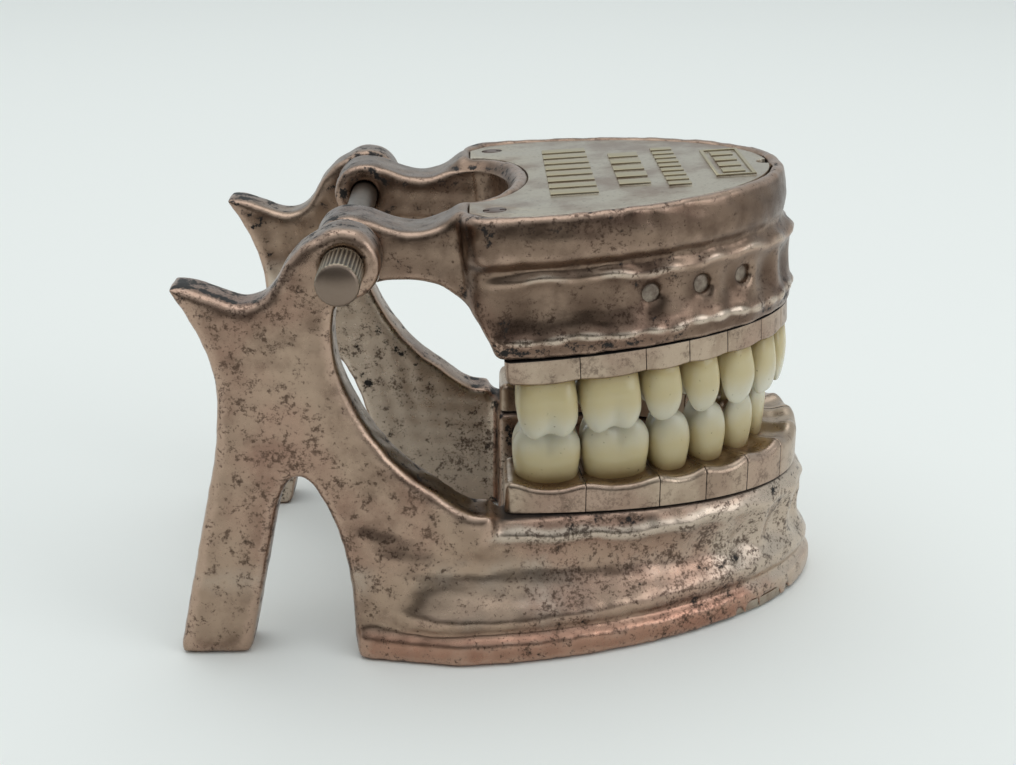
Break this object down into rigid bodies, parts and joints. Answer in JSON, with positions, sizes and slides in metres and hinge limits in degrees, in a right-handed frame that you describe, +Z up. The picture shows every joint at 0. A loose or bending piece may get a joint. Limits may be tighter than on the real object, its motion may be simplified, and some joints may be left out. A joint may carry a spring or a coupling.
{
  "type": "typodont model",
  "caption": "Hinged metal dental teaching model: two cast jaws with separate gum segments and resin teeth that open on a cross shaft.",
  "frame": {"origin": "on the floor, under the middle of the model's box", "axes": "+X towards the front teeth, +Y towards the model's left side, +Z up"},
  "size_m": [0.1066, 0.0856, 0.0727],
  "materials": {
    "worn_casting": "cast, silver plate worn through to copper-pink bronze, dark tarnish in the hollows",
    "etched_cover": "flat plate with a matt tarnished ground and plain raised bars",
    "gum_metal": "cast and filed, worn satin",
    "steel_shaft": "turned rod, dulled",
    "knurled_nut": "turned, straight knurl, tarnished",
    "screw_steel": "turned, dulled",
    "plug_metal": "filed flush, grey",
    "tooth_resin": "moulded tooth resin, ivory at the neck to grey-white at the cusps"
  },
  "bodies": {
    "lower_jaw_body": {"lower_jaw": "worn_casting", "bottom_cover": "etched_cover", "bottom_cover_screws": "screw_steel", "hinge_shaft": "steel_shaft", "lower_tooth_screws": "screw_steel", "lower_gum_central_incisor": "gum_metal", "lower_right_central_incisor": "tooth_resin", "lower_left_central_incisor": "tooth_resin", "lower_gum_lateral_incisor": "gum_metal", "lower_right_lateral_incisor": "tooth_resin", "lower_left_lateral_incisor": "tooth_resin", "lower_gum_canine": "gum_metal", "lower_right_canine": "tooth_resin", "lower_left_canine": "tooth_resin", "lower_gum_first_premolar": "gum_metal", "lower_right_first_premolar": "tooth_resin", "lower_left_first_premolar": "tooth_resin", "lower_gum_second_premolar": "gum_metal", "lower_right_second_premolar": "tooth_resin", "lower_left_second_premolar": "tooth_resin", "lower_gum_first_molar": "gum_metal", "lower_right_first_molar": "tooth_resin", "lower_left_first_molar": "tooth_resin", "lower_gum_second_molar": "gum_metal", "lower_right_second_molar": "tooth_resin", "lower_left_second_molar": "tooth_resin"},
    "upper_jaw_body": {"upper_jaw": "worn_casting", "top_cover": "etched_cover", "top_cover_screws": "screw_steel", "cheek_plugs": "plug_metal", "upper_tooth_screws": "screw_steel", "upper_gum_central_incisor": "gum_metal", "upper_right_central_incisor": "tooth_resin", "upper_left_central_incisor": "tooth_resin", "upper_gum_lateral_incisor": "gum_metal", "upper_right_lateral_incisor": "tooth_resin", "upper_left_lateral_incisor": "tooth_resin", "upper_gum_canine": "gum_metal", "upper_right_canine": "tooth_resin", "upper_left_canine": "tooth_resin", "upper_gum_first_premolar": "gum_metal", "upper_right_first_premolar": "tooth_resin", "upper_left_first_premolar": "tooth_resin", "upper_gum_second_premolar": "gum_metal", "upper_right_second_premolar": "tooth_resin", "upper_left_second_premolar": "tooth_resin", "upper_gum_first_molar": "gum_metal", "upper_right_first_molar": "tooth_resin", "upper_left_first_molar": "tooth_resin", "upper_gum_second_molar": "gum_metal", "upper_right_second_molar": "tooth_resin", "upper_left_second_molar": "tooth_resin"},
    "right_nut_body": {"right_thumb_nut": "knurled_nut"},
    "left_nut_body": {"left_thumb_nut": "knurled_nut"}
  },
  "joints": [
    {"name": "jaw_hinge", "type": "hinge", "parent": "lower_jaw_body", "child": "upper_jaw_body", "pos_m": [-0.0251, 0, 0.0635], "axis": [0, -1, 0], "range_deg": [0, 168]},
    {"name": "right_nut_turn", "type": "hinge", "parent": "lower_jaw_body", "child": "right_nut_body", "pos_m": [-0.0251, -0.038, 0.0635], "axis": [0, -1, 0], "continuous": true},
    {"name": "left_nut_turn", "type": "hinge", "parent": "lower_jaw_body", "child": "left_nut_body", "pos_m": [-0.0251, 0.038, 0.0635], "axis": [0, 1, 0], "continuous": true}
  ]
}
